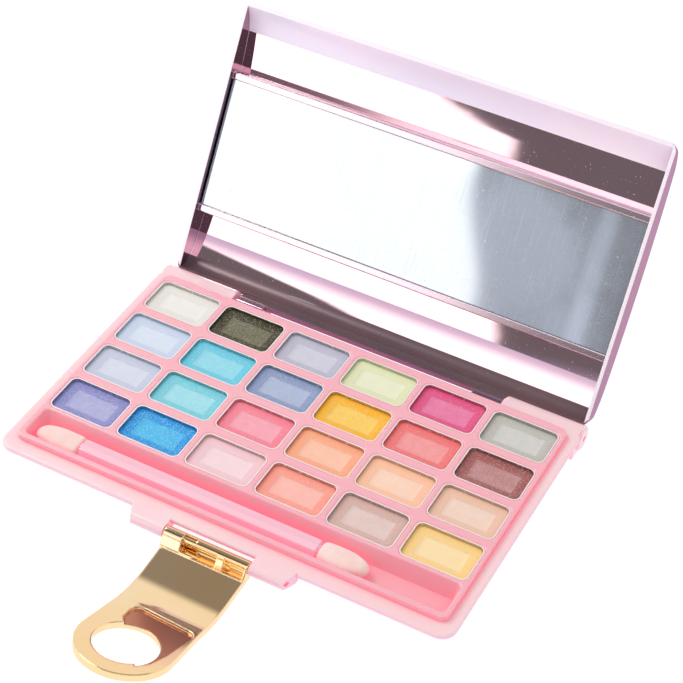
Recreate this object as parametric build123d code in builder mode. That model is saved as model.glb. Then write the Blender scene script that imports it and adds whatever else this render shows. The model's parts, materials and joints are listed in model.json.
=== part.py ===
from build123d import *
from math import cos, radians, sin, tan
import os

# Eyeshadow palette: a flat base with a tray of pans, a domed lid with a mirror, a front latch.
# Millimetres. +X right, +Y towards the lid hinge, +Z up. The origin is the centre of the base's
# footprint on the surface it rests on. Rest pose: lid open, latch folded out, applicator in its well.

# ---- base ----
base_half_width = 63.4
base_half_depth = 39.8
base_corner = 4.2
ledge_z = 7.4
flange_thickness = 1.6
flange_edge = 0.75
flange_bottom = ledge_z - flange_thickness
tub_top_inset = 1.5
tub_bottom_inset_x = 4.0
tub_bottom_inset_y = 5.0
floor_thickness = 1.4
tub_wall = 1.2
fit_gap = 0.08
floor_rib_inset = 4.0

# ---- pan tray ----
tray_top = 9.0
tray_half_width = 60.3
tray_front = -35.6
tray_rear = 36.3
tray_corner = 2.2
tray_bottom = 3.2
tray_lip_step = 0.05
tray_depth_y = tray_rear - tray_front
tray_centre_y = (tray_rear + tray_front) / 2
tray_lip_bottom = ledge_z - 2 * tray_lip_step

# ---- pans and powders ----
columns = 6
rows = 4
pitch_x = 20.0
pitch_y = 14.83
grid_centre_y = 5.4
pan_length = 18.36
pan_width = 12.32
pan_corner = 2.0
pan_sheet = 0.35
pan_top = tray_top - 0.15
pocket_floor = 4.6
pocket_gap = 0.07
pocket_edge = 0.4
seat_gap = 0.02
powder_sink = 0.9
powder_panel_length = 12.4
powder_panel_width = 6.6
powder_panel_depth = 0.4

# ---- applicator well and applicator ----
well_left = -58.7
well_right = 59.0
well_front = -34.0
well_rear = -24.1
well_floor = 4.4
well_corner = 1.4
well_edge = 0.5
well_rear_lean = 1.8
well_end_taper = 9.0
applicator_y = -30.2
applicator_left = -57.3
applicator_right = 37.3
tip_length = 13.2
tip_width = 7.1
tip_thickness = 4.5
tip_edge = 1.2
tip_nose = 3.5
applicator_z = well_floor + seat_gap + tip_thickness / 2
stem_radius = 1.0
stem_length = 5.0
handle_half_width = 2.9
handle_half_height = 2.15
handle_flat = 1.9
handle_ridge = 0.4
neck_half = 1.8
neck_length = 0.5

# ---- lid hinge ----
hinge_y = 40.1
hinge_z = 4.0
barrel_radius = ledge_z - hinge_z
barrel_inner = 40.5
barrel_edge = 0.8
hinge_pin_radius = 0.9
press_depth = 0.02
running_gap = 0.05
hinge_pin_inner = 31.9
hinge_pin_outer = 62.6
lug_inner = 31.5
lug_outer = 40.0
lug_radius = 2.4
rear_wall_y = 37.5

# ---- lid, drawn in its own side plane: first axis forward from the hinge, second axis up when closed ----
lid_opening = 119.5
lid_half_width = 62.3
lid_wall = 1.0
lid_corner = 2.5
lid_rim = ledge_z + 0.1 - hinge_z
lid_back = 1.9
lid_front = 79.0
lid_middle = (lid_back + lid_front) / 2
rear_wall = ((0, 0), (1.06, 3.35), (3.8, 5.55))
rear_wall_inside = ((1.1, 0), (1.98, 2.69), (4.2, 4.45))
rear_shoulder = ((3.8, 5.55), (7.2, 6.7), (10.9, 7.3))
rear_shoulder_inside = ((4.2, 4.45), (7.5, 5.5), (11.0, 6.1))
front_wall = ((0, 0), (3.0, 3.5), (7.2, 5.9))
front_wall_inside = ((1.1, 0), (4.0, 2.6), (8.0, 4.7))
dome_rise = 8.5
dome_rise_inside = 7.2
mirror_front_rise = 2.2
rib_rise = 1.9
rib_width = 2.0
rear_rib = lid_back + 17.6
front_rib = lid_back + 55.6
ledge_width = 1.6
mirror_thickness = 1.1
tape_thickness = 0.3
mirror_gap = 0.1
mirror_half_length = 60.9
tape_inset = 1.0
rib_root = 0.4
# the web that joins each hinge lug to the foot of the rear wall
lug_web = ((2.4, 0), (2.2, 3.6), (3.9, 7.5), (0, 5.5), (-1.9, 1.4))
# between the lugs the rear wall continues down behind the base as a thin skirt
skirt_back = 1.2
skirt_front = 2.35
skirt_low = -1.0
skirt_high = lid_rim + 1.0
# the nub sits under the latch's recess when both are closed
nub_forward = 59.9
nub_radius = 1.1
nub_left = -2.0
nub_length = 8.0
nub_rise = 7.34

# ---- latch, drawn in its own side plane: first axis outward from its hinge, second axis up ----
latch_y = -42.3
latch_z = 5.7
ear_radius = ledge_z - latch_z
ear_inner = 12.0
ear_outer = 22.8
ear_tip = 21.0
latch_pin_radius = 0.8
latch_pin_half = 20.0
knuckle_half = 11.7
knuckle_radius = 1.65
knuckle_foot = 3.2
plate_drop = 2.1
plate_thickness = 1.8
plate_half_width = 11.5
plate_tilt = 4.5
flat_length = 10.0
bend_radius = 28.0
ring_tilt = 18.0
ring_radius = 12.1
ring_reach = 35.8
finger_hole_radius = 8.0
recess_depth = 0.7
recess_corner = 2.2
# outline of the recess about the ring's centre, its hinge side first
recess_outline = (
    (-6.4, 14.6),
    (11.0, 13.4),
    (9.9, 2.0),
    (8.6, -3.2),
    (6.4, -6.4),
    (5.0, -5.2),
    (0, 0),
    (-6.0, 8.6),
)
plate_root = 1.2
plate_waist = 0.2
waist_reach = 14.0
plate_reach = 40.0
# windows in the knuckle: left end, right end, back edge, top edge
knuckle_windows = ((-6.4, -2.8, -0.5, 2.0), (-2.8, 3.4, 0.5, 1.0), (5.6, 11.0, 0.5, 0.9))

os.makedirs("parts", exist_ok=True)


def write(piece, name):
    piece.part.label = name
    export_step(piece.part, f"parts/{name}.step")


# ---- base shell ----
tub_top_half_x = base_half_width - tub_top_inset
tub_top_half_y = base_half_depth - tub_top_inset
tub_bottom_half_x = base_half_width - tub_bottom_inset_x
tub_bottom_half_y = base_half_depth - tub_bottom_inset_y
cavity_bottom_half_x = tub_bottom_half_x - tub_wall
cavity_bottom_half_y = tub_bottom_half_y - tub_wall
barrel_length = base_half_width - barrel_inner

with BuildPart() as base_shell:
    with BuildSketch(Plane.XY.offset(flange_bottom)):
        RectangleRounded(2 * base_half_width, 2 * base_half_depth, base_corner)
    extrude(amount=flange_thickness)
    fillet(base_shell.edges().filter_by(Plane.XY), radius=flange_edge)
    with BuildSketch(Plane.XY.offset(flange_bottom)):
        RectangleRounded(2 * tub_top_half_x, 2 * tub_top_half_y, base_corner)
    with BuildSketch(Plane.XY):
        RectangleRounded(2 * tub_bottom_half_x, 2 * tub_bottom_half_y, base_corner)
    loft()
    # the rear edge is cut back between the hinge blocks, to leave room for the lid and its lugs
    with BuildSketch(Plane.XY):
        with Locations((0, rear_wall_y)):
            Rectangle(2 * barrel_inner, base_half_depth, align=(Align.CENTER, Align.MIN))
    extrude(amount=ledge_z, mode=Mode.SUBTRACT)
    # hinge blocks: a barrel about the hinge axis, joined to the flange and the tub
    for side in (1, -1):
        with BuildSketch(Plane.XY.offset(hinge_z)):
            with Locations((side * (barrel_inner + barrel_length / 2), hinge_y + barrel_radius / 2)):
                Rectangle(barrel_length, barrel_radius)
            outer_corners = vertices().group_by(Axis.Y)[-1]
            fillet(outer_corners, radius=barrel_edge)
        revolve(axis=Axis((0, hinge_y, hinge_z), (1, 0, 0)))
        block_start = barrel_inner if side > 0 else -base_half_width + barrel_edge
        with BuildSketch(Plane.YZ.offset(block_start)):
            with Locations(((tub_bottom_half_y + hinge_y) / 2, hinge_z)):
                Rectangle(hinge_y - tub_bottom_half_y, 2 * barrel_radius)
        extrude(amount=barrel_length - barrel_edge)
    # latch ears on the front edge, their outer ends cut back towards the front
    for side in (1, -1):
        ear_start = ear_inner if side > 0 else -ear_outer
        with BuildSketch(Plane.YZ.offset(ear_start)):
            with Locations((latch_y, latch_z)):
                Circle(ear_radius)
            with Locations((latch_y, latch_z)):
                Rectangle(-latch_y - tub_top_half_y, 2 * ear_radius, align=(Align.MIN, Align.CENTER))
        extrude(amount=ear_outer - ear_inner)
        with BuildSketch(Plane.XY):
            with BuildLine():
                Polyline(
                    (side * ear_outer, -base_half_depth),
                    (side * ear_tip, latch_y - ear_radius),
                    (side * (ear_outer + 1), latch_y - ear_radius),
                    (side * (ear_outer + 1), -base_half_depth),
                    close=True,
                )
            make_face()
        extrude(amount=ledge_z, mode=Mode.SUBTRACT)
    # the hollow that takes the tray
    with BuildSketch(Plane.XY.offset(ledge_z)):
        with Locations((0, tray_centre_y)):
            RectangleRounded(
                2 * (tray_half_width + fit_gap), tray_depth_y + 2 * fit_gap, tray_corner + fit_gap
            )
    with BuildSketch(Plane.XY.offset(floor_thickness)):
        RectangleRounded(2 * cavity_bottom_half_x, 2 * cavity_bottom_half_y, tray_corner)
    loft(mode=Mode.SUBTRACT)
    # long ribs on the floor carry the tray
    with BuildSketch(Plane.XY.offset(floor_thickness)):
        with Locations((0, grid_centre_y)):
            with GridLocations(0, pitch_y, 1, rows - 1):
                Rectangle(2 * (cavity_bottom_half_x - floor_rib_inset), tub_wall)
    extrude(amount=tray_bottom - seat_gap - floor_thickness)
    # pin holes through the hinge blocks and the latch ears
    for side in (1, -1):
        with BuildSketch(Plane.YZ.offset(side * (barrel_inner - 1))):
            with Locations((hinge_y, hinge_z)):
                Circle(hinge_pin_radius - press_depth)
        extrude(amount=side * (barrel_length + 2), mode=Mode.SUBTRACT)
        with BuildSketch(Plane.YZ.offset(side * (ear_inner - 1))):
            with Locations((latch_y, latch_z)):
                Circle(latch_pin_radius - press_depth)
        extrude(amount=side * (ear_outer - ear_inner + 2), mode=Mode.SUBTRACT)
write(base_shell, "base_shell")

# ---- pan tray ----
# the tray's lower body follows the tapered hollow with an even gap
cavity_slope = (tray_bottom - floor_thickness) / (ledge_z - floor_thickness)
tray_low_half_x = cavity_bottom_half_x + cavity_slope * (tray_half_width - cavity_bottom_half_x) - fit_gap
tray_low_front = -cavity_bottom_half_y + cavity_slope * (tray_front + cavity_bottom_half_y) + fit_gap
tray_low_rear = cavity_bottom_half_y + cavity_slope * (tray_rear - cavity_bottom_half_y) - fit_gap

with BuildPart() as pan_tray:
    with BuildSketch(Plane.XY.offset(tray_lip_bottom)):
        with Locations((0, tray_centre_y)):
            RectangleRounded(2 * tray_half_width, tray_depth_y, tray_corner)
    extrude(amount=tray_top - tray_lip_bottom)
    with BuildSketch(Plane.XY.offset(tray_lip_bottom)):
        with Locations((0, tray_centre_y)):
            RectangleRounded(
                2 * (tray_half_width - tray_lip_step), tray_depth_y - 2 * tray_lip_step, tray_corner
            )
    with BuildSketch(Plane.XY.offset(tray_bottom)):
        with Locations((0, (tray_low_front + tray_low_rear) / 2)):
            RectangleRounded(2 * tray_low_half_x, tray_low_rear - tray_low_front, tray_corner)
    loft()
    # one pocket for each pan
    with BuildSketch(Plane.XY.offset(pocket_floor)):
        with Locations((0, grid_centre_y)):
            with GridLocations(pitch_x, pitch_y, columns, rows):
                RectangleRounded(
                    pan_length + 2 * pocket_gap, pan_width + 2 * pocket_gap, pan_corner + pocket_gap
                )
    extrude(amount=tray_top - pocket_floor, mode=Mode.SUBTRACT)
    fillet(pan_tray.faces().sort_by(Axis.Z)[-1].edges(), radius=pocket_edge)
    # the long well for the applicator, its ends leaning in towards the floor
    well_depth = tray_top - well_floor
    well_end_lean = well_depth * tan(radians(well_end_taper))
    well_centre = ((well_left + well_right) / 2, (well_front + well_rear) / 2)
    with BuildSketch(Plane.XY.offset(tray_top)):
        with Locations(well_centre):
            RectangleRounded(well_right - well_left, well_rear - well_front, well_corner)
    with BuildSketch(Plane.XY.offset(well_floor)):
        with Locations((well_centre[0], well_centre[1] - well_rear_lean / 2)):
            RectangleRounded(
                well_right - well_left - 2 * well_end_lean,
                well_rear - well_front - well_rear_lean,
                well_corner,
            )
    loft(mode=Mode.SUBTRACT)
    well_rim = pan_tray.faces().sort_by(Axis.Z)[-1].edges().filter_by_position(
        Axis.Y, well_front - 0.1, well_rear + 0.1
    )
    fillet(well_rim, radius=well_edge)
write(pan_tray, "pan_tray")

# ---- pans and pressed powders, rows from the hinge to the front ----
powder_names = (
    ("ivory", "olive", "silver_lavender", "pale_lime", "magenta", "silver_grey"),
    ("ice_blue", "turquoise", "periwinkle", "yellow", "coral", "plum_brown"),
    ("lavender_grey", "mint", "rose_pink", "orange_peach", "light_peach", "beige_peach"),
    ("violet", "bright_blue", "pale_pink", "salmon", "taupe", "cream_yellow"),
)
powder_top = pan_top - powder_sink
powder_bottom = pocket_floor + 2 * seat_gap + pan_sheet
inner_length = pan_length - 2 * pan_sheet
inner_width = pan_width - 2 * pan_sheet
inner_corner = pan_corner - pan_sheet

for row in range(rows):
    for column in range(columns):
        centre_x = (column - (columns - 1) / 2) * pitch_x
        centre_y = grid_centre_y + ((rows - 1) / 2 - row) * pitch_y

        with BuildPart() as pan:
            with BuildSketch(Plane((centre_x, centre_y, pocket_floor + seat_gap))):
                RectangleRounded(pan_length, pan_width, pan_corner)
            extrude(amount=pan_top - pocket_floor - seat_gap)
            fillet(pan.faces().sort_by(Axis.Z)[0].edges(), radius=pan_sheet)
            with BuildSketch(Plane((centre_x, centre_y, pocket_floor + seat_gap + pan_sheet))):
                RectangleRounded(inner_length, inner_width, inner_corner)
            extrude(amount=pan_top - pocket_floor, mode=Mode.SUBTRACT)
        write(pan, f"pan_{powder_names[row][column]}")

        with BuildPart() as powder:
            with BuildSketch(Plane((centre_x, centre_y, powder_bottom))):
                RectangleRounded(
                    inner_length - 2 * seat_gap, inner_width - 2 * seat_gap, inner_corner - seat_gap
                )
            extrude(amount=powder_top - powder_bottom)
            with BuildSketch(Plane((centre_x, centre_y, powder_top - powder_panel_depth))):
                Rectangle(powder_panel_length, powder_panel_width)
            extrude(amount=powder_panel_depth, mode=Mode.SUBTRACT, taper=-45)
        write(powder, f"powder_{powder_names[row][column]}")

# ---- lid ----
lean = radians(180 - lid_opening)
lid_side = Plane(
    origin=(0, hinge_y, hinge_z), x_dir=(0, cos(lean), sin(lean)), z_dir=(-1, 0, 0)
)
rib_top = lid_rim + dome_rise_inside - rib_root
mirror_face = lid_rim + mirror_front_rise
mirror_back = mirror_face + mirror_thickness
ledge_face = mirror_back + tape_thickness
mirror_low = rear_rib + rib_width
mirror_high = front_rib


def arch(rear, shoulder, front, crown):
    """Outline of the lid in its side plane: rear wall, rounded shoulder, shallow dome, front wall."""
    rear_points = [(lid_back + run, lid_rim + rise) for run, rise in rear]
    shoulder_points = [(lid_back + run, lid_rim + rise) for run, rise in shoulder]
    front_points = [(lid_front - run, lid_rim + rise) for run, rise in front]
    ThreePointArc(*rear_points)
    ThreePointArc(*shoulder_points)
    ThreePointArc(shoulder_points[2], (lid_middle, lid_rim + crown), front_points[2])
    ThreePointArc(*reversed(front_points))
    Line(front_points[0], rear_points[0])


lid_plan = Plane(
    origin=lid_side.from_local_coords((lid_middle, lid_rim, 0)),
    x_dir=(1, 0, 0),
    z_dir=lid_side.y_dir,
)

with BuildPart() as lid_shell:
    with BuildSketch(lid_side):
        with BuildLine():
            arch(rear_wall, rear_shoulder, front_wall, dome_rise)
        make_face()
    extrude(amount=lid_half_width, both=True)
    with BuildSketch(lid_plan):
        RectangleRounded(2 * lid_half_width, lid_front - lid_back, lid_corner)
    extrude(amount=2 * dome_rise, mode=Mode.INTERSECT)
    with BuildSketch(lid_side):
        with BuildLine():
            arch(rear_wall_inside, rear_shoulder_inside, front_wall_inside, dome_rise_inside)
        make_face()
    extrude(amount=lid_half_width - lid_wall, both=True, mode=Mode.SUBTRACT)
    # two full-width ribs with a step on their facing sides hold the mirror
    with BuildSketch(lid_side):
        for start, width, level in (
            (rear_rib, rib_width, lid_rim + rib_rise),
            (rear_rib + rib_width, ledge_width, ledge_face),
            (front_rib, rib_width, lid_rim + rib_rise),
            (front_rib - ledge_width, ledge_width, ledge_face),
        ):
            with Locations((start, level)):
                Rectangle(width, rib_top - level, align=(Align.MIN, Align.MIN))
    extrude(amount=lid_half_width - lid_wall / 2, both=True)
    # hinge lugs reach back from the rear wall to the pins
    for start in (lug_inner, -lug_outer):
        with BuildSketch(lid_side.offset(start)):
            Circle(lug_radius)
            with BuildLine():
                Polyline(*lug_web, close=True)
            make_face()
            Circle(hinge_pin_radius + running_gap, mode=Mode.SUBTRACT)
        extrude(amount=lug_outer - lug_inner)
    # the skirt joins the two lugs below the rim
    with BuildSketch(lid_side):
        with Locations((skirt_back, skirt_low)):
            Rectangle(skirt_front - skirt_back, skirt_high - skirt_low, align=(Align.MIN, Align.MIN))
    extrude(amount=lug_inner + lid_wall / 2, both=True)
    # a low nub on the dome meets the recess of the closed latch
    with BuildSketch(lid_side.offset(-nub_left)):
        with Locations((nub_forward, lid_rim + nub_rise)):
            Circle(nub_radius)
    extrude(amount=-nub_length)
write(lid_shell, "lid_shell")

with BuildPart() as mirror:
    with BuildSketch(lid_side):
        with Locations((mirror_low + mirror_gap, mirror_face)):
            Rectangle(
                mirror_high - mirror_low - 2 * mirror_gap, mirror_thickness, align=(Align.MIN, Align.MIN)
            )
    extrude(amount=mirror_half_length, both=True)
write(mirror, "mirror")

with BuildPart() as mirror_tapes:
    with BuildSketch(lid_side):
        for start in (mirror_low + 2 * mirror_gap, mirror_high - ledge_width + mirror_gap):
            with Locations((start, mirror_back)):
                Rectangle(ledge_width - 3 * mirror_gap, tape_thickness, align=(Align.MIN, Align.MIN))
    extrude(amount=mirror_half_length - tape_inset, both=True)
write(mirror_tapes, "mirror_tapes")

# ---- hinge pins ----
with BuildPart() as hinge_pins:
    for side in (1, -1):
        with BuildSketch(Plane.YZ.offset(side * hinge_pin_inner)):
            with Locations((hinge_y, hinge_z)):
                Circle(hinge_pin_radius)
        extrude(amount=side * (hinge_pin_outer - hinge_pin_inner))
write(hinge_pins, "hinge_pins")

# ---- latch ----
latch_side = Plane(origin=(0, latch_y, latch_z), x_dir=(0, -1, 0), z_dir=(-1, 0, 0))
flat_end = (flat_length, -plate_drop - flat_length * tan(radians(plate_tilt)))
bend_turn = radians(plate_tilt + ring_tilt)


def bend_point(share, radius):
    """A point on the upward bend, share of the turn from its start, on an arc of this radius."""
    angle = share * bend_turn - radians(plate_tilt)
    centre = (
        flat_end[0] + bend_radius * sin(radians(plate_tilt)),
        flat_end[1] + bend_radius * cos(radians(plate_tilt)),
    )
    return (centre[0] + radius * sin(angle), centre[1] - radius * cos(angle))


outer_radius = bend_radius + plate_thickness
inner_end = bend_point(1, bend_radius)
outer_end = bend_point(1, outer_radius)
reach_x = plate_reach * cos(radians(ring_tilt))
reach_z = plate_reach * sin(radians(ring_tilt))
ring_up = (ring_reach - inner_end[0]) * tan(radians(ring_tilt))
ring_centre = Vector(0, latch_y - ring_reach, latch_z + inner_end[1] + ring_up)
ring_plane = Plane(
    origin=ring_centre,
    x_dir=(1, 0, 0),
    z_dir=(0, sin(radians(ring_tilt)), cos(radians(ring_tilt))),
)
waist_half_width = plate_half_width - plate_waist

with BuildPart() as latch:
    with BuildSketch(latch_side):
        with BuildLine():
            Polyline((-plate_root, -plate_drop), flat_end)
            ThreePointArc(flat_end, bend_point(0.5, bend_radius), inner_end)
            Polyline(
                inner_end,
                (inner_end[0] + reach_x, inner_end[1] + reach_z),
                (outer_end[0] + reach_x, outer_end[1] + reach_z),
                outer_end,
            )
            ThreePointArc(outer_end, bend_point(0.5, outer_radius), bend_point(0, outer_radius))
            Polyline(
                bend_point(0, outer_radius),
                (-plate_root, -plate_drop - plate_thickness),
                (-plate_root, -plate_drop),
            )
        make_face()
    extrude(amount=ring_radius + 1, both=True)
    # plan shape: straight-sided by the hinge, slightly waisted, round at the free end
    with BuildSketch(ring_plane):
        Circle(ring_radius)
        with BuildLine():
            Polyline(
                (-ring_radius, 0),
                (-waist_half_width, waist_reach),
                (-plate_half_width, plate_reach),
                (plate_half_width, plate_reach),
                (waist_half_width, waist_reach),
                (ring_radius, 0),
                close=True,
            )
        make_face()
    extrude(amount=plate_reach, both=True, mode=Mode.INTERSECT)
    with BuildSketch(ring_plane):
        Circle(finger_hole_radius)
    extrude(amount=plate_reach, both=True, mode=Mode.SUBTRACT)
    # recess in the inner face, on the hinge side of the hole and down one flank
    with BuildSketch(ring_plane.offset(-recess_depth)):
        with BuildLine():
            Polyline(*recess_outline, close=True)
        make_face()
        hinge_side_corners = vertices().group_by(Axis.Y)[-2:]
        fillet(hinge_side_corners[0] + hinge_side_corners[1], radius=recess_corner)
    extrude(amount=2 * recess_depth, mode=Mode.SUBTRACT)
    # knuckle: round over the pin, its front face sloping down to the plate
    with BuildSketch(latch_side):
        Circle(knuckle_radius)
        with BuildLine():
            Polyline(
                (-knuckle_radius, 0),
                (-plate_root, -plate_drop - 0.1),
                (knuckle_foot, -plate_drop - 0.4),
                (knuckle_foot - 0.2, -plate_drop + 0.2),
                (0.7 * knuckle_radius, 0.7 * knuckle_radius),
                close=True,
            )
        make_face()
    extrude(amount=knuckle_half, both=True)
    # windows that bare the pin: one open above, two open in front only
    for left, right, back, top in knuckle_windows:
        with BuildSketch(latch_side.offset(-right)):
            with Locations((back, -plate_drop)):
                Rectangle(knuckle_foot, top + plate_drop, align=(Align.MIN, Align.MIN))
        extrude(amount=right - left, mode=Mode.SUBTRACT)
    with BuildSketch(latch_side):
        Circle(latch_pin_radius + running_gap)
    extrude(amount=knuckle_half + 1, both=True, mode=Mode.SUBTRACT)
write(latch, "latch")

with BuildPart() as latch_pin:
    with BuildSketch(latch_side):
        Circle(latch_pin_radius)
    extrude(amount=latch_pin_half, both=True)
write(latch_pin, "latch_pin")

# ---- applicator ----
handle_left = applicator_left + tip_length
handle_right = applicator_right - tip_length
applicator_section = Plane((0, applicator_y, applicator_z), x_dir=(0, 1, 0), z_dir=(1, 0, 0))

with BuildPart() as applicator_handle:
    # ridged bar
    with BuildSketch(applicator_section.offset(handle_left + neck_length)):
        with BuildLine():
            Polyline(
                (-handle_half_width, 0),
                (-handle_flat, handle_half_height),
                (0, handle_half_height - handle_ridge / 2),
                (handle_flat, handle_half_height),
                (handle_half_width, 0),
                (handle_flat, -handle_half_height),
                (-handle_flat, -handle_half_height),
                close=True,
            )
        make_face()
        fillet(vertices(), radius=handle_ridge)
    extrude(amount=handle_right - handle_left - 2 * neck_length)
    # narrower necks, then the stems that hold the sponge tips
    for radius, start, length in (
        (neck_half, handle_left, handle_right - handle_left),
        (stem_radius, handle_left - stem_length, handle_right - handle_left + 2 * stem_length),
    ):
        with BuildSketch(applicator_section.offset(start)):
            Circle(radius)
        extrude(amount=length)
write(applicator_handle, "applicator_handle")

for name, root, direction in (
    ("sponge_tip_left", handle_left, -1),
    ("sponge_tip_right", handle_right, 1),
):
    with BuildPart() as sponge:
        with BuildSketch(Plane((0, applicator_y, applicator_z - tip_thickness / 2))):
            tip_middle = root + direction * (seat_gap + (tip_length - seat_gap) / 2)
            with Locations((tip_middle, 0)):
                Rectangle(tip_length - seat_gap, tip_width)
            nose = vertices().group_by(Axis.X)[0 if direction < 0 else -1]
            fillet(nose, radius=tip_nose)
        extrude(amount=tip_thickness)
        fillet(sponge.edges().filter_by(Plane.XY), radius=tip_edge)
        with BuildSketch(Plane.YZ.offset(root)):
            with Locations((applicator_y, applicator_z)):
                Circle(stem_radius + seat_gap)
        extrude(amount=direction * (stem_length + seat_gap), mode=Mode.SUBTRACT)
    write(sponge, name)
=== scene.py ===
import json
import math

import bmesh
import bpy
from mathutils import Matrix, Vector, noise


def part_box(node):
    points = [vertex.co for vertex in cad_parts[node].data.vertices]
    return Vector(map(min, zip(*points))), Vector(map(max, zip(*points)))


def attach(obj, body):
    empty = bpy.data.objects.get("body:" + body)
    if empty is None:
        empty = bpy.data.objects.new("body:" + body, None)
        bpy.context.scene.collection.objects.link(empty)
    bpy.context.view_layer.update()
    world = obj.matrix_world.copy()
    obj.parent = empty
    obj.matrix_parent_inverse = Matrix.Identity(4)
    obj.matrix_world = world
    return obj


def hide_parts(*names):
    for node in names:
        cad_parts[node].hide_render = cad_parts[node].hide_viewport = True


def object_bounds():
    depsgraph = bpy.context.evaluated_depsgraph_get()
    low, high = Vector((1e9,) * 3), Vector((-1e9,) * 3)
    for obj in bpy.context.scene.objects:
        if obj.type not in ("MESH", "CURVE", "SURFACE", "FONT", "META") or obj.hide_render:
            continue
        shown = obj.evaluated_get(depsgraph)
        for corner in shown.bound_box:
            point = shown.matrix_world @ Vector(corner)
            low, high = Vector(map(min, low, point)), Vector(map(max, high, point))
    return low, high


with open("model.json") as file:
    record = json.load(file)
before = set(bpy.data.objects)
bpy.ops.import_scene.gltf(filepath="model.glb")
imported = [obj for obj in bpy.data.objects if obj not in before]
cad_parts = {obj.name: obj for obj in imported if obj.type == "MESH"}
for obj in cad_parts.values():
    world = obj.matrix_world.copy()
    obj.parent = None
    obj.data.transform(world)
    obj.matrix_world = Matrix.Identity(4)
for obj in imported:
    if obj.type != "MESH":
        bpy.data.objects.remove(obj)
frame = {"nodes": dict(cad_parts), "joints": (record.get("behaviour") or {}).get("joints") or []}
cad_low, cad_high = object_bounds()

MM = 0.001
nodes = frame["nodes"]
joints = {joint["name"]: joint for joint in frame["joints"]}


# ---------------------------------------------------------------- node helpers
def srgb(red, green, blue):
    """Linear colour with alpha from the usual 0 to 255 display values."""
    def linear(value):
        value = value / 255
        return value / 12.92 if value <= 0.04045 else ((value + 0.055) / 1.055) ** 2.4

    return (linear(red), linear(green), linear(blue), 1.0)


class Graph:
    """A node tree with short calls to add and join nodes."""

    def __init__(self, tree):
        self.tree = tree

    def put(self, node, key, value):
        if isinstance(value, bpy.types.NodeSocket):
            self.tree.links.new(value, node.inputs[key])
        else:
            node.inputs[key].default_value = value

    def add(self, kind, inputs=None, **settings):
        node = self.tree.nodes.new(kind)
        for name, value in settings.items():
            setattr(node, name, value)
        for key, value in (inputs or {}).items():
            self.put(node, key, value)
        return node

    def math(self, operation, first, second=0.0, clamp=False):
        node = self.add("ShaderNodeMath", {0: first, 1: second}, operation=operation, use_clamp=clamp)
        return node.outputs[0]

    def mix(self, factor, first, second):
        node = self.add("ShaderNodeMix", data_type="RGBA")
        self.put(node, 0, factor)
        self.put(node, 6, first)
        self.put(node, 7, second)
        return node.outputs[2]

    def span(self, value, low, high, start=0.0, end=1.0):
        """value mapped smoothly from low..high to start..end, and held outside."""
        inputs = {0: value, 1: low, 2: high, 3: start, 4: end}
        node = self.add("ShaderNodeMapRange", inputs, interpolation_type="SMOOTHSTEP")
        return node.outputs[0]

    def place(self):
        """Position on the piece, in metres."""
        return self.add("ShaderNodeTexCoord").outputs["Object"]

    def noise(self, scale, detail=3.0, roughness=0.5, vector=None, stretch=None):
        vector = vector or self.place()
        if stretch:
            vector = self.add("ShaderNodeMapping", {0: vector, 3: stretch}).outputs[0]
        inputs = {"Vector": vector, "Scale": scale, "Detail": detail, "Roughness": roughness}
        return self.add("ShaderNodeTexNoise", inputs).outputs["Fac"]

    def bump(self, height, distance, strength, edge=0.0):
        """Relief from a height; edge rounds the sharp edges by this radius."""
        node = self.add("ShaderNodeBump", {"Strength": strength, "Distance": distance, "Height": height})
        if edge:
            self.put(node, "Normal", self.add("ShaderNodeBevel", {"Radius": edge}, samples=8).outputs[0])
        return node.outputs[0]

    def occlusion(self, distance):
        """Near 1 in the open and 0 in tight hollows of about this size."""
        node = self.add("ShaderNodeAmbientOcclusion", {"Distance": distance}, samples=6)
        return node.outputs["AO"]


def new_material(name):
    material = bpy.data.materials.new(name)
    material.use_nodes = True
    graph = Graph(material.node_tree)
    return material, graph, material.node_tree.nodes["Principled BSDF"]


def finish_surface(graph, shader, **values):
    """Sets or joins the shader's inputs, named with underscores for spaces."""
    for key, value in values.items():
        graph.put(shader, key.replace("_", " "), value)


# ---------------------------------------------------------------- materials
WHITE = (1.0, 1.0, 1.0, 1.0)
SOFT_EDGE = 0.35 * MM
PLATED_EDGE = 0.25 * MM
GOLD_EDGE = 0.55 * MM
RIB_EDGE = 0.6 * MM
WEAVE_PITCH = 0.42 * MM
# the mirror's wiping streak: distance from the mirror's right end, and the half widths of its fade
STREAK_INSET = 9.8 * MM
STREAK_CORE = 0.4 * MM
STREAK_REACH = 4.2 * MM


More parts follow.
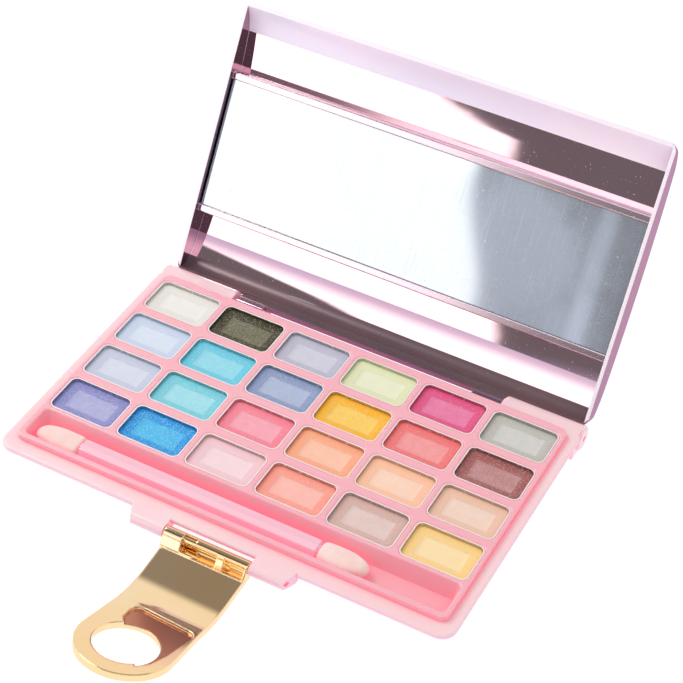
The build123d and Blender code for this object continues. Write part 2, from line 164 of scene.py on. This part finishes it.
def pink_plastic(name, light, shade_and_glow, side, gloss=0.24, reach=3.5 * MM, edge=SOFT_EDGE):
    """Glossy, slightly translucent moulded plastic with painted light: its hollows take painted shade and a
    painted glow in deeper pink, and its upright sides take a painted reflection leaning to lilac.
    """
    material, graph, shader = new_material(name)
    # painted shade: the hollows turn to the deeper pink
    unshaded_share = graph.span(graph.occlusion(reach), 0.2, 0.92)
    colour = graph.mix(unshaded_share, shade_and_glow, light)
    normal = graph.add("ShaderNodeTexCoord").outputs["Normal"]
    upright = graph.math("ABSOLUTE", graph.add("ShaderNodeSeparateXYZ", {0: normal}).outputs[2])
    # painted reflection: faces that stand upright lean to the side colour
    colour = graph.mix(graph.span(upright, 0.2, 0.9, 0.5, 0.0), colour, side)
    drift = graph.span(graph.noise(30, 2), 0.3, 0.7, 0.0, 0.1)
    colour = graph.mix(drift, colour, shade_and_glow)
    finish_surface(graph, shader, Base_Color=colour)
    patch = graph.noise(160, 3)
    finish_surface(graph, shader, Roughness=graph.span(patch, 0.3, 0.7, gloss - 0.03, gloss + 0.03))
    finish_surface(graph, shader, Normal=graph.bump(graph.noise(220, 2), 0.02 * MM, 0.12, edge))
    finish_surface(graph, shader, Subsurface_Weight=0.3, Subsurface_Scale=2.5 * MM)
    finish_surface(graph, shader, Subsurface_Radius=(1.0, 0.45, 0.5), Coat_Weight=0.35, Coat_Roughness=0.06)
    # painted glow, strongest in the hollows, standing in for light that has passed through the plastic
    finish_surface(graph, shader, Emission_Color=shade_and_glow)
    finish_surface(graph, shader, Emission_Strength=graph.span(unshaded_share, 0.0, 0.9, 0.24, 0.0))
    return material


def pressed_metal():
    """Bright pressed sheet, slightly uneven in tone and gloss."""
    material, graph, shader = new_material("pan_metal")
    marks = graph.noise(500, 2, 0.4)
    finish_surface(graph, shader, Base_Color=graph.mix(marks, srgb(244, 238, 234), srgb(255, 252, 248)))
    finish_surface(graph, shader, Metallic=0.3, Roughness=graph.span(marks, 0.3, 0.7, 0.38, 0.44))
    return material


def dusted_shaded_metal(name, powder):
    """The pan's inner wall: metal with the powder's dust on it and painted shade, darker than the powder
    itself.
    """
    material, graph, shader = new_material(name)
    # painted shade together with dust: the powder's own colour, darkened
    dust_and_shade = tuple(0.55 * channel ** 1.5 for channel in powder[:3]) + (1.0,)
    dust = graph.span(graph.noise(900, 3, 0.6), 0.56, 0.66, 0.0, 0.55)
    finish_surface(graph, shader, Base_Color=graph.mix(dust, dust_and_shade, srgb(236, 228, 222)))
    finish_surface(graph, shader, Metallic=graph.math("MULTIPLY", dust, 0.5), Roughness=0.5)
    return material


def powder_material(name, centre, shimmer):
    """Pressed powder: a woven press mark, a lighter middle panel, fine grain and, for some, glitter; painted
    shade darkens its hollows and the weave's grooves.
    """
    material, graph, shader = new_material(name)
    relief = graph.add("ShaderNodeAttribute", attribute_name="panel").outputs["Fac"]
    border = tuple(channel ** (1.8 + 0.5 * shimmer) for channel in centre[:3]) + (1.0,)
    cloud = graph.span(graph.noise(420, 5, 0.65), 0.3, 0.75)
    share = graph.math("MULTIPLY", relief, graph.span(cloud, 0.0, 1.0, 0.78, 1.0))
    colour = graph.mix(share, border, centre)
    place = graph.add("ShaderNodeSeparateXYZ", {0: graph.place()})
    thread = 2 * math.pi / WEAVE_PITCH
    warp = graph.math("SINE", graph.math("MULTIPLY", place.outputs[0], thread))
    weft = graph.math("SINE", graph.math("MULTIPLY", place.outputs[1], thread))
    weave = graph.math("MULTIPLY", graph.math("ADD", warp, weft), 0.25)
    weave = graph.math("ADD", weave, 0.5)
    # painted shade: the weave's grooves turn towards the darker border colour
    colour = graph.mix(graph.math("MULTIPLY", graph.math("SUBTRACT", 1.0, weave), 0.3), colour, border)
    grain = graph.noise(5200, 2, 0.7)
    colour = graph.mix(graph.span(grain, 0.55, 0.8, 0.0, 0.35), colour, border)
    # painted shade: in hollows near the pan's wall the powder turns to its border colour
    shade = graph.span(graph.occlusion(2.5 * MM), 0.35, 0.85, 0.65, 0.0)
    colour = graph.mix(shade, colour, border)
    cells = graph.add("ShaderNodeTexVoronoi", {"Vector": graph.place(), "Scale": 6800.0})
    tone = graph.add("ShaderNodeSeparateXYZ", {0: cells.outputs["Color"]})
    flake = graph.math("GREATER_THAN", tone.outputs[0], 1.0 - 0.24 * shimmer)
    bright = graph.mix(0.5, centre, WHITE)
    colour = graph.mix(graph.math("MULTIPLY", flake, 0.5), colour, bright)
    height = graph.math("ADD", graph.math("MULTIPLY", weave, 0.7), graph.math("MULTIPLY", grain, 0.5))
    finish_surface(graph, shader, Base_Color=colour, Normal=graph.bump(height, 0.05 * MM, 0.5))
    finish_surface(graph, shader, Roughness=graph.span(flake, 0.0, 1.0, 0.75, 0.45))
    finish_surface(graph, shader, Metallic=graph.math("MULTIPLY", flake, 0.4), Specular_IOR_Level=0.25)
    finish_surface(graph, shader, Sheen_Weight=0.05 + 0.1 * shimmer, Sheen_Roughness=0.4)
    return material


def plated(name, tint, shade, roughness, specks, edge=PLATED_EDGE):
    """Vacuum-plated plastic: a tinted mirror finish with dust specks and hairline scratches."""
    material, graph, shader = new_material(name)
    drift = graph.span(graph.noise(28, 2), 0.3, 0.7)
    colour = graph.mix(drift, tint, shade)
    dust = graph.span(graph.noise(2600, 1, 0.4), 0.74, 0.78)
    lines = graph.noise(500, 1, 0.4, stretch=(0.05, 1.0, 1.0))
    scratch = graph.span(lines, 0.78, 0.8)
    mark = graph.math("MAXIMUM", dust, scratch)
    colour = graph.mix(graph.math("MULTIPLY", mark, specks), colour, (1.0, 0.97, 0.98, 1.0))
    finish_surface(graph, shader, Base_Color=colour, Metallic=1.0)
    finish_surface(graph, shader, Roughness=graph.math("ADD", graph.math("MULTIPLY", mark, 0.3), roughness))
    finish_surface(graph, shader, Normal=graph.bump(graph.noise(120, 2), 0.01 * MM, 0.25, edge))
    return material


def mirror_material():
    """Silvered glass under a bluish haze, with wiping marks and hairline scratches."""
    material, graph, shader = new_material("mirror_glass")
    haze = graph.span(graph.noise(24, 4, 0.5), 0.32, 0.62, 0.22, 0.6)
    turned = graph.add("ShaderNodeMapping", {0: graph.place(), 2: (0.0, 0.0, 0.5)}).outputs[0]
    hairs = graph.noise(2600, 2, 0.6, vector=turned, stretch=(0.03, 1.0, 1.0))
    wipes = graph.noise(2100, 2, 0.6, stretch=(1.0, 0.03, 0.03))
    hairs = graph.span(hairs, 0.56, 0.74, 0.0, 0.16)
    wipes = graph.span(wipes, 0.56, 0.74, 0.0, 0.13)
    marks = graph.math("MAXIMUM", hairs, wipes)
    spots = graph.span(graph.noise(1300, 1, 0.3), 0.79, 0.81, 0.0, 0.7)
    across = graph.add("ShaderNodeSeparateXYZ", {0: graph.place()}).outputs[0]
    # a lighter wiping streak near the right end
    streak_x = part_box("mirror")[1].x - STREAK_INSET
    streak = graph.math("ABSOLUTE", graph.math("SUBTRACT", across, streak_x))
    streak = graph.span(streak, STREAK_CORE, STREAK_REACH, 0.26, 0.0)
    marks = graph.math("ADD", graph.math("MAXIMUM", marks, spots), streak)
    cloud = graph.math("ADD", haze, marks, clamp=True)
    finish_surface(graph, shader, Base_Color=srgb(246, 250, 250), Metallic=1.0)
    finish_surface(graph, shader, Roughness=graph.math("MULTIPLY", cloud, 0.07))
    film = graph.add("ShaderNodeBsdfDiffuse", {"Color": srgb(212, 226, 244)})
    share = graph.math("MULTIPLY", cloud, 0.9)
    mixed = graph.add("ShaderNodeMixShader", {0: share, 1: shader.outputs[0], 2: film.outputs[0]})
    output = material.node_tree.nodes["Material Output"]
    graph.put(output, 0, mixed.outputs[0])
    return material


def foam_material():
    """Soft open-cell foam with a flocked skin."""
    material, graph, shader = new_material("sponge_foam")
    pores = graph.noise(3800, 3, 0.7)
    cloud = graph.noise(260, 3)
    colour = graph.mix(graph.span(cloud, 0.3, 0.7), srgb(254, 212, 205), srgb(255, 224, 216))
    colour = graph.mix(graph.span(pores, 0.55, 0.75, 0.0, 0.35), colour, srgb(244, 172, 162))
    finish_surface(graph, shader, Base_Color=colour, Roughness=0.9)
    finish_surface(graph, shader, Normal=graph.bump(pores, 0.12 * MM, 0.6))
    finish_surface(graph, shader, Sheen_Weight=0.5, Sheen_Roughness=0.6)
    finish_surface(graph, shader, Subsurface_Weight=0.35, Subsurface_Scale=1.5 * MM)
    finish_surface(graph, shader, Subsurface_Radius=(1.0, 0.6, 0.5))
    return material


def steel_material():
    """Turned steel with marks running round the pin."""
    material, graph, shader = new_material("pin_steel")
    turned = graph.noise(1200, 3, 0.6, stretch=(1.0, 0.15, 0.15))
    finish_surface(graph, shader, Base_Color=graph.mix(turned, srgb(176, 170, 168), srgb(222, 218, 214)))
    finish_surface(graph, shader, Metallic=1.0, Roughness=graph.span(turned, 0.3, 0.7, 0.2, 0.36))
    return material


def tape_material():
    """Pale foam tape."""
    material, graph, shader = new_material("tape_foam")
    cells = graph.noise(3000, 3, 0.6)
    finish_surface(graph, shader, Base_Color=graph.mix(cells, srgb(206, 200, 198), srgb(244, 240, 238)))
    finish_surface(graph, shader, Roughness=0.85, Normal=graph.bump(cells, 0.05 * MM, 0.5))
    return material


def paint(node, *materials):
    """Gives a CAD node these materials in place of its own."""
    slots = nodes[node].data.materials
    slots.clear()
    for material in materials:
        slots.append(material)


# ---------------------------------------------------------------- finishes
# each plastic below takes a lit colour, then its painted shade and painted glow for the hollows, then the
# painted reflection on its upright sides
PINK_LIGHT = srgb(255, 222, 224)
PINK_SHADE_AND_GLOW = srgb(255, 146, 166)
PINK_SIDE_REFLECTION = srgb(250, 190, 226)

base_pink = pink_plastic("base_plastic", PINK_LIGHT, PINK_SHADE_AND_GLOW, PINK_SIDE_REFLECTION, edge=0.0)
tray_pink = pink_plastic("tray_plastic", srgb(255, 186, 195), PINK_SHADE_AND_GLOW, srgb(255, 176, 190))
handle_pink = pink_plastic(
    "handle_plastic", srgb(255, 200, 213), srgb(254, 166, 192), srgb(252, 188, 208), 0.12, 2 * MM
)
paint("base_shell", base_pink)
paint("pan_tray", tray_pink)
paint("applicator_handle", handle_pink)
paint("hinge_pins", steel_material())
paint("mirror", mirror_material())
paint("mirror_tapes", tape_material())

# ---------------------------------------------------------------- powders
# colour of the middle panel, and how much glitter; rows from the hinge to the front
POWDERS = {
    "ivory": ((244, 241, 236), 0.1),
    "olive": ((135, 130, 105), 0.5),
    "silver_lavender": ((220, 218, 228), 0.3),
    "pale_lime": ((242, 243, 216), 0.2),
    "magenta": ((242, 145, 182), 0.2),
    "silver_grey": ((222, 220, 214), 0.4),
    "ice_blue": ((226, 233, 244), 0.2),
    "turquoise": ((165, 228, 240), 0.4),
    "periwinkle": ((190, 200, 222), 0.5),
    "yellow": ((255, 218, 110), 0.6),
    "coral": ((250, 172, 172), 0.2),
    "plum_brown": ((205, 155, 152), 0.5),
    "lavender_grey": ((224, 227, 238), 0.2),
    "mint": ((176, 230, 238), 0.4),
    "rose_pink": ((252, 182, 194), 0.2),
    "orange_peach": ((255, 208, 182), 0.3),
    "light_peach": ((255, 222, 200), 0.2),
    "beige_peach": ((248, 222, 206), 0.3),
    "violet": ((190, 190, 225), 0.5),
    "bright_blue": ((85, 200, 240), 1.0),
    "pale_pink": ((250, 225, 228), 0.1),
    "salmon": ((255, 200, 188), 0.3),
    "taupe": ((235, 212, 205), 0.4),
    "cream_yellow": ((255, 232, 185), 0.3),
}
PANEL_HALF_LENGTH = 6.2 * MM
PANEL_HALF_WIDTH = 3.3 * MM
PANEL_CORNER = 0.35 * MM
POWDER_CORNER = 1.6 * MM
PANEL_STEP = 0.1 * MM
BORDER_FALL = 0.28 * MM
POWDER_LIP = 0.03 * MM
SKIN_DEPTH = 0.02 * MM
SKIN_UNEVEN = 0.05 * MM
SKIN_LUMPS = 900
SIDE_POINTS = 14
CORNER_POINTS = 6
BORDER_RINGS = 9


def rounded_outline(half_x, half_y, radius):
    """Points round a rectangle with round corners, the same number for any size."""
    points = []
    corners = ((1, 1, 0), (-1, 1, 90), (-1, -1, 180), (1, -1, 270))
    for sign_x, sign_y, start in corners:
        centre = Vector((sign_x * (half_x - radius), sign_y * (half_y - radius)))
        for step in range(CORNER_POINTS):
            angle = math.radians(start + 90 * step / (CORNER_POINTS - 1))
            points.append(centre + radius * Vector((math.cos(angle), math.sin(angle))))
        after = {0: (-1, 1), 90: (-1, -1), 180: (1, -1), 270: (1, 1)}[start]
        end = Vector((after[0] * (half_x - radius), after[1] * (half_y - radius)))
        offset = Vector((math.cos(math.radians(start + 90)), math.sin(math.radians(start + 90)))) * radius
        first = points[-1]
        last = end + offset
        for step in range(1, SIDE_POINTS):
            points.append(first.lerp(last, step / SIDE_POINTS))
    return points


def stitch(bm, lower, upper):
    """Faces between two closed rings with the same number of vertices."""
    count = len(lower)
    for index in range(count):
        after = (index + 1) % count
        bm.faces.new((lower[index], lower[after], upper[after], upper[index]))


def pressed_powder(name, material):
    """A pressed cake: sloping border with a slightly uneven skin, and a sunken rectangular panel."""
    low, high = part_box(f"powder_{name}")
    centre = (low + high) / 2
    half = (high - low) / 2
    outer = rounded_outline(half.x, half.y, POWDER_CORNER)
    inner = rounded_outline(PANEL_HALF_LENGTH, PANEL_HALF_WIDTH, PANEL_CORNER)
    bm = bmesh.new()
    panel = bm.verts.layers.float.new("panel")

    def ring(points, height, share, uneven=0.0):
        made = []
        for point in points:
            x = centre.x + point.x
            y = centre.y + point.y
            lift = uneven * noise.noise(Vector((x, y, 0.0)) * SKIN_LUMPS)
            vert = bm.verts.new((x, y, height + lift))
            vert[panel] = share
            made.append(vert)
        return made

    top = high.z
    floor = top - PANEL_STEP - BORDER_FALL
    rings = [ring(outer, low.z, 0.0)]
    rings.append(ring(outer, top - POWDER_LIP, 0.0))
    for step in range(BORDER_RINGS):
        way = (step + 0.35) / (BORDER_RINGS - 0.65)
        points = [a.lerp(b, way) for a, b in zip(outer, inner)]
        fall = BORDER_FALL * (way * way * (3 - 2 * way))
        rings.append(ring(points, top - SKIN_DEPTH - fall, 0.25 * way, SKIN_UNEVEN))
    step_in = [point * 0.985 for point in inner]
    rings.append(ring(step_in, floor, 0.9))
    for way in (0.8, 0.55, 0.3):
        rings.append(ring([point * way for point in inner], floor + 0.01 * MM * (1 - way), 1.0))
    for below, above in zip(rings, rings[1:]):
        stitch(bm, below, above)
    bm.faces.new(rings[-1])
    bm.faces.new(list(reversed(rings[0])))
    bmesh.ops.recalc_face_normals(bm, faces=bm.faces)
    mesh = bpy.data.meshes.new(f"pressed_{name}")
    bm.to_mesh(mesh)
    bm.free()
    mesh.shade_smooth()
    for polygon in mesh.polygons:
        polygon.use_smooth = polygon.normal.z > 0.5
    piece = bpy.data.objects.new(f"pressed_{name}", mesh)
    bpy.context.scene.collection.objects.link(piece)
    mesh.materials.append(material)
    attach(piece, "base")
    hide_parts(f"powder_{name}")


def paint_pan(name, rim, wall):
    """The rim's finish all over, with the wall's finish on the faces that look into the pan."""
    paint(f"pan_{name}", rim, wall)
    low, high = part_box(f"pan_{name}")
    middle = (low + high) / 2
    for face in nodes[f"pan_{name}"].data.polygons:
        upright = abs(face.normal.z) < 0.5
        inward = face.normal.dot(middle - face.center) > 0.0
        face.material_index = 1 if upright and inward else 0


metal = pressed_metal()
for powder_name, (powder_colour, powder_shimmer) in POWDERS.items():
    shade = srgb(*powder_colour)
    paint_pan(powder_name, metal, dusted_shaded_metal(f"pan_wall_{powder_name}", shade))
    pressed_powder(powder_name, powder_material(f"powder_{powder_name}", shade, powder_shimmer))


# ---------------------------------------------------------------- sponge tips
FOAM_RINGS = 26
FOAM_SIDES = 40
# the foam fills this share of its box, and its cross-section is this far from a plain ellipse
FOAM_FILL = 0.98
FOAM_SQUARE = 0.85
FOAM_UNEVEN = 0.03 * MM
FOAM_LUMPS = 700
NOSE_END = 0.02


def foam_profile(way):
    """Half width and half thickness, as a share, from the root (0) to the end of the nose (1)."""
    shoulder = 1 - max(0.0, 1 - way / 0.06) ** 2.5
    swell = 0.93 + 0.07 * math.sin(math.pi / 2 * min(1.0, way / 0.35))
    nose = math.sqrt(max(0.0, 1 - max(0.0, (way - 0.36) / 0.64) ** 2.3))
    return (0.5 + 0.5 * shoulder) * swell * nose


def sponge_tip(node, material):
    """A flattened bullet of foam with a round nose and a small shoulder at its root."""
    low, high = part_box(node)
    centre = (low + high) / 2
    half = (high - low) / 2
    handle_low, handle_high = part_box("applicator_handle")
    outward = -1 if 2 * centre.x < handle_low.x + handle_high.x else 1
    root_x = centre.x - outward * half.x
    bm = bmesh.new()
    rings = []
    for step in range(FOAM_RINGS + 1):
        way = 0.5 - 0.5 * math.cos(math.pi * step / FOAM_RINGS)
        share = max(foam_profile(way), NOSE_END)
        made = []
        for side in range(FOAM_SIDES):
            angle = 2 * math.pi * side / FOAM_SIDES
            across = math.copysign(abs(math.cos(angle)) ** FOAM_SQUARE, math.cos(angle))
            up = math.copysign(abs(math.sin(angle)) ** FOAM_SQUARE, math.sin(angle))
            point = Vector((root_x + outward * 2 * half.x * way, 0, 0))
            point.y = centre.y + half.y * FOAM_FILL * share * across
            thick = (0.35 + 0.65 * share) * min(1.0, share * 1.6)
            point.z = centre.z + half.z * FOAM_FILL * thick * up
            point += Vector((0, FOAM_UNEVEN, FOAM_UNEVEN)) * noise.noise(point * FOAM_LUMPS)
            made.append(bm.verts.new(point))
        rings.append(made)
    for below, above in zip(rings, rings[1:]):
        stitch(bm, below, above)
    bm.faces.new(rings[0])
    bm.faces.new(list(reversed(rings[-1])))
    bmesh.ops.recalc_face_normals(bm, faces=bm.faces)
    mesh = bpy.data.meshes.new(f"{node}_foam")
    bm.to_mesh(mesh)
    bm.free()
    mesh.shade_smooth()
    mesh.materials.append(material)
    piece = bpy.data.objects.new(f"{node}_foam", mesh)
    bpy.context.scene.collection.objects.link(piece)
    smooth = piece.modifiers.new("round", "SUBSURF")
    smooth.levels = 1
    smooth.render_levels = 1
    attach(piece, "applicator")
    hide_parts(node)


foam = foam_material()
for tip in ("sponge_tip_left", "sponge_tip_right"):
    sponge_tip(tip, foam)


# ---------------------------------------------------------------- lid
lid_hinge = joints["lid_hinge"]
hinge_point = Vector(lid_hinge["pos_m"])
closing = Matrix.Rotation(math.radians(lid_hinge["range_deg"][1]), 4, Vector(lid_hinge["axis"]))


# material slots of the lid, in the order that paint_lid gives them
OUTSIDE, INSIDE, FRONT_WALL, RIM, END_WALL, REAR_WALL, RIB = range(7)
# sizes that tell the lid's faces apart, all measured on the shut lid
END_SKIN = 0.5 * MM
FRONT_BAND = 8.0 * MM
REAR_BAND = 4.0 * MM
RIB_REACH = 2.3 * MM


def as_closed(point):
    """Where a point of the open lid lies when the lid is shut."""
    return closing @ (point - hinge_point) + hinge_point


def paint_lid():
    """Silvery mauve inside, lavender inside the front wall, a pale rim and ribs, and pink mauve outside; the
    front wall and rim have a painted glow, and the inner end and rear walls are painted dark as painted
    shade.
    """
    outside = plated("lid_outside", (0.52, 0.32, 0.42, 1.0), (0.48, 0.32, 0.48, 1.0), 0.09, 0.3)
    outside.node_tree.nodes["Principled BSDF"].inputs["Specular Tint"].default_value = (0.7, 0.52, 0.62, 1.0)
    inside = plated("lid_inside", (1.0, 0.72, 0.76, 1.0), (0.97, 0.68, 0.73, 1.0), 0.03, 0.5)
    wall = plated("lid_front_wall_glow", (0.97, 0.87, 1.0, 1.0), (0.92, 0.84, 1.0, 1.0), 0.35, 0.1)
    rim = plated("lid_rim_glow", (0.98, 0.90, 0.94, 1.0), (0.95, 0.85, 0.92, 1.0), 0.3, 0.1)
    # painted glow: the front wall and rim give off faint lavender light of their own, which keeps them pale
    for glowing in (wall, rim):
        surface = glowing.node_tree.nodes["Principled BSDF"].inputs
        surface["Metallic"].default_value = 0.2
        surface["Emission Color"].default_value = (0.95, 0.88, 1.0, 1.0)
        surface["Emission Strength"].default_value = 0.1
    # painted shade: the inner end walls and rear wall are painted in dark tints
    shaded_end_walls = plated("lid_end_walls_shade", (0.46, 0.27, 0.35, 1.0), (0.40, 0.24, 0.33, 1.0), 0.08, 0.3)
    shaded_rear_wall = plated("lid_rear_wall_shade", (0.24, 0.16, 0.17, 1.0), (0.20, 0.14, 0.16, 1.0), 0.28, 0.2)
    shaded_rear_wall.node_tree.nodes["Principled BSDF"].inputs["Metallic"].default_value = 0.45
    ribs = plated("lid_ribs", (0.94, 0.74, 0.80, 1.0), (0.90, 0.70, 0.78, 1.0), 0.14, 0.3, RIB_EDGE)
    paint("lid_shell", outside, inside, wall, rim, shaded_end_walls, shaded_rear_wall, ribs)
    shell = nodes["lid_shell"].data
    half_x = max(abs(vert.co.x) for vert in shell.vertices)
    # the ends of the lid lie outside its hinge lugs, so they show where its walls stand
    ends = [as_closed(vert.co) for vert in shell.vertices if abs(vert.co.x) > half_x - 2 * MM]
    front = min(corner.y for corner in ends)
    back = max(corner.y for corner in ends)
    rim_level = min(corner.z for corner in ends)
    glass = [as_closed(vert.co).y for vert in nodes["mirror"].data.vertices]
    turn = closing.to_3x3()
    for face in shell.polygons:
        spot = as_closed(face.center)
        normal = turn @ face.normal
        outer = normal.z > 0.15 or abs(spot.x) > half_x - END_SKIN
        outer = outer or spot.y > back - 0.05 * MM or (spot.y > back - REAR_BAND and normal.y > 0.3)
        outer = outer or (spot.y < front + FRONT_BAND and normal.y < -0.3)
        beside = min(glass) - RIB_REACH < spot.y < max(glass) + RIB_REACH
        level = normal.z < -0.9
        if level and spot.z < rim_level + 0.05 * MM and spot.y < back - 6 * MM:
            face.material_index = RIM
        elif outer:
            face.material_index = OUTSIDE
        elif spot.y < front + 8.1 * MM and abs(normal.x) < 0.7:
            face.material_index = FRONT_WALL
        elif beside and (level or abs(normal.y) > 0.7):
            face.material_index = RIB
        elif abs(normal.x) > 0.7:
            face.material_index = END_WALL
        elif spot.y > back - 4.5 * MM:
            face.material_index = REAR_WALL
        else:
            face.material_index = INSIDE


paint_lid()


# ---------------------------------------------------------------- latch
# the copper-coloured floor of the recess lies this far below the plate's upper face
RECESS_HIGH = 0.3 * MM
RECESS_LOW = 1.2 * MM
RECESS_LENGTH = 16.0 * MM


def gold(name, tint, shade, roughness):
    """Polished gold plating with faint rubbing marks."""
    material, graph, shader = new_material(name)
    drift = graph.span(graph.noise(40, 2), 0.3, 0.7)
    finish_surface(graph, shader, Base_Color=graph.mix(drift, tint, shade), Metallic=1.0)
    marks = graph.span(graph.noise(700, 2, 0.5, stretch=(1.0, 0.08, 0.3)), 0.7, 0.74, 0.0, 0.12)
    finish_surface(graph, shader, Roughness=graph.math("ADD", marks, roughness))
    finish_surface(graph, shader, Normal=graph.bump(graph.noise(150, 2), 0.02 * MM, 0.3, GOLD_EDGE))
    return material


def paint_latch():
    """Gold, with a darker copper-brown on the floor of the recess beside the finger hole."""
    plate = gold("latch_plated", (1.0, 0.76, 0.47, 1.0), (1.0, 0.71, 0.39, 1.0), 0.07)
    recess_brown = gold("latch_recess", (0.62, 0.27, 0.16, 1.0), (0.50, 0.21, 0.13, 1.0), 0.14)
    paint("latch", plate, recess_brown)
    paint("latch_pin", plate)
    mesh = nodes["latch"].data
    low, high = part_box("latch")
    hole_y = low.y + (high.x - low.x) / 2
    widest = max((face for face in mesh.polygons if face.center.y < hole_y), key=lambda face: face.area)
    up = widest.normal if widest.normal.z > 0 else -widest.normal
    upper_level = max(face.center.dot(up) for face in mesh.polygons if face.center.y < hole_y)
    for face in mesh.polygons:
        depth = upper_level - face.center.dot(up)
        level = abs(face.normal.dot(up)) > 0.995
        sunk = RECESS_HIGH < depth < RECESS_LOW and face.center.y < hole_y + RECESS_LENGTH
        face.material_index = 1 if level and sunk else 0


paint_latch()


# ---------------------------------------------------------------- stage
FLOOR_SIZE = 6.0
FLOOR_GLOW = 0.88
KEY_ENERGY = 3.2
KEY_SIZE = 0.5
KEY_PLACE = Vector((-0.6, 0.1, 0.8))


def add_floor():
    """A plain white floor at the level of the palette's underside."""
    bpy.ops.mesh.primitive_grid_add(x_subdivisions=8, y_subdivisions=8, size=FLOOR_SIZE)
    floor = bpy.context.active_object
    floor.name = "floor"
    floor.location.z = cad_low.z
    material, graph, shader = new_material("floor_paint")
    shade = graph.mix(graph.noise(3, 2), (0.20, 0.20, 0.20, 1.0), (0.22, 0.22, 0.22, 1.0))
    finish_surface(graph, shader, Base_Color=shade, Roughness=0.9, Specular_IOR_Level=0.1)
    # lit from within, so that shadows and colour thrown by the palette stay faint
    finish_surface(graph, shader, Emission_Color=WHITE, Emission_Strength=FLOOR_GLOW)
    floor.data.materials.append(material)


def add_world():
    """Even white light. Mirror-like surfaces see a lit panel in front, a hanging one and the dim room."""
    world = bpy.data.worlds.new("studio")
    bpy.context.scene.world = world
    world.use_nodes = True
    graph = Graph(world.node_tree)
    direction = graph.add("ShaderNodeTexCoord").outputs["Generated"]
    x, y, z = graph.add("ShaderNodeSeparateXYZ", {0: direction}).outputs
    degrees = 180 / math.pi
    # turn is the angle round from the front towards +X, rise the angle above the horizon
    turn = graph.math("MULTIPLY", graph.math("ARCTAN2", x, graph.math("MULTIPLY", y, -1.0)), degrees)
    rise = graph.math("MULTIPLY", graph.math("ARCSINE", z), degrees)
    room = (0.15, 0.145, 0.155, 1.0)
    panel = (1.6, 1.6, 1.6, 1.0)
    # the front panel's right edge bulges once, and its foot slopes
    bulge = graph.math("MULTIPLY", graph.span(rise, 15.2, 19.0, 0.0, 1.7), graph.span(rise, 24.0, 20.0))
    beside = graph.span(graph.math("ADD", turn, bulge), -16.65, -16.15)
    foot = graph.math("SUBTRACT", rise, graph.math("MULTIPLY", turn, 0.38))
    below = graph.span(foot, 12.75, 12.5)
    front = graph.mix(graph.math("MAXIMUM", beside, below), panel, room)
    # the hanging panel is lilac at its lower edge
    hung = graph.math("MULTIPLY", graph.span(turn, -31.0, -29.4), graph.span(rise, 62.0, 54.0))
    glow = graph.mix(graph.span(rise, 26.0, 44.0), (0.60, 0.56, 0.74, 1.0), panel)
    upper = graph.mix(hung, room, glow)
    front = graph.mix(graph.span(rise, 24.8, 25.8), front, upper)
    back = graph.mix(graph.span(rise, 40.0, 49.0), (0.92, 0.92, 0.92, 1.0), (0.28, 0.27, 0.27, 1.0))
    seen = graph.mix(graph.span(y, -0.1, 0.1), front, back)
    path = graph.add("ShaderNodeLightPath")
    even = graph.mix(path.outputs["Is Camera Ray"], (0.78, 0.78, 0.79, 1.0), WHITE)
    colour = graph.mix(path.outputs["Is Glossy Ray"], even, seen)
    background = world.node_tree.nodes["Background"]
    graph.put(background, 0, colour)
    graph.put(background, 1, 1.0)


def add_key():
    """A large soft lamp, high behind the left of the palette."""
    lamp = bpy.data.lights.new("key", "AREA")
    lamp.shape = "DISK"
    lamp.size = KEY_SIZE
    lamp.energy = KEY_ENERGY
    holder = bpy.data.objects.new("key", lamp)
    holder.location = KEY_PLACE
    holder.rotation_euler = (-KEY_PLACE).to_track_quat("-Z", "Y").to_euler()
    bpy.context.scene.collection.objects.link(holder)


CAMERA_AZIMUTH = 26.13
CAMERA_ELEVATION = 42.37
CAMERA_ROLL = 3.05
CAMERA_DISTANCE = 528.6 * MM
CAMERA_AIM = Vector((-5.69, 36.11, 9.0)) * MM
CAMERA_LENS = 104.7


def add_camera():
    """The camera, aimed from its azimuth, elevation, distance and roll."""
    data = bpy.data.cameras.new("camera")
    data.lens = CAMERA_LENS
    data.clip_start = 0.01
    camera = bpy.data.objects.new("camera", data)
    azimuth = math.radians(CAMERA_AZIMUTH)
    elevation = math.radians(CAMERA_ELEVATION)
    flat = math.cos(elevation)
    back = Vector((math.sin(azimuth) * flat, -math.cos(azimuth) * flat, math.sin(elevation)))
    camera.location = CAMERA_AIM + back * CAMERA_DISTANCE
    turn = (-back).to_track_quat("-Z", "Y").to_matrix().to_4x4()
    turn = turn @ Matrix.Rotation(math.radians(CAMERA_ROLL), 4, "Z")
    camera.rotation_euler = turn.to_euler()
    bpy.context.scene.collection.objects.link(camera)
    bpy.context.scene.camera = camera


add_floor()
add_world()
add_key()
add_camera()
bpy.context.scene.view_settings.view_transform = "Standard"
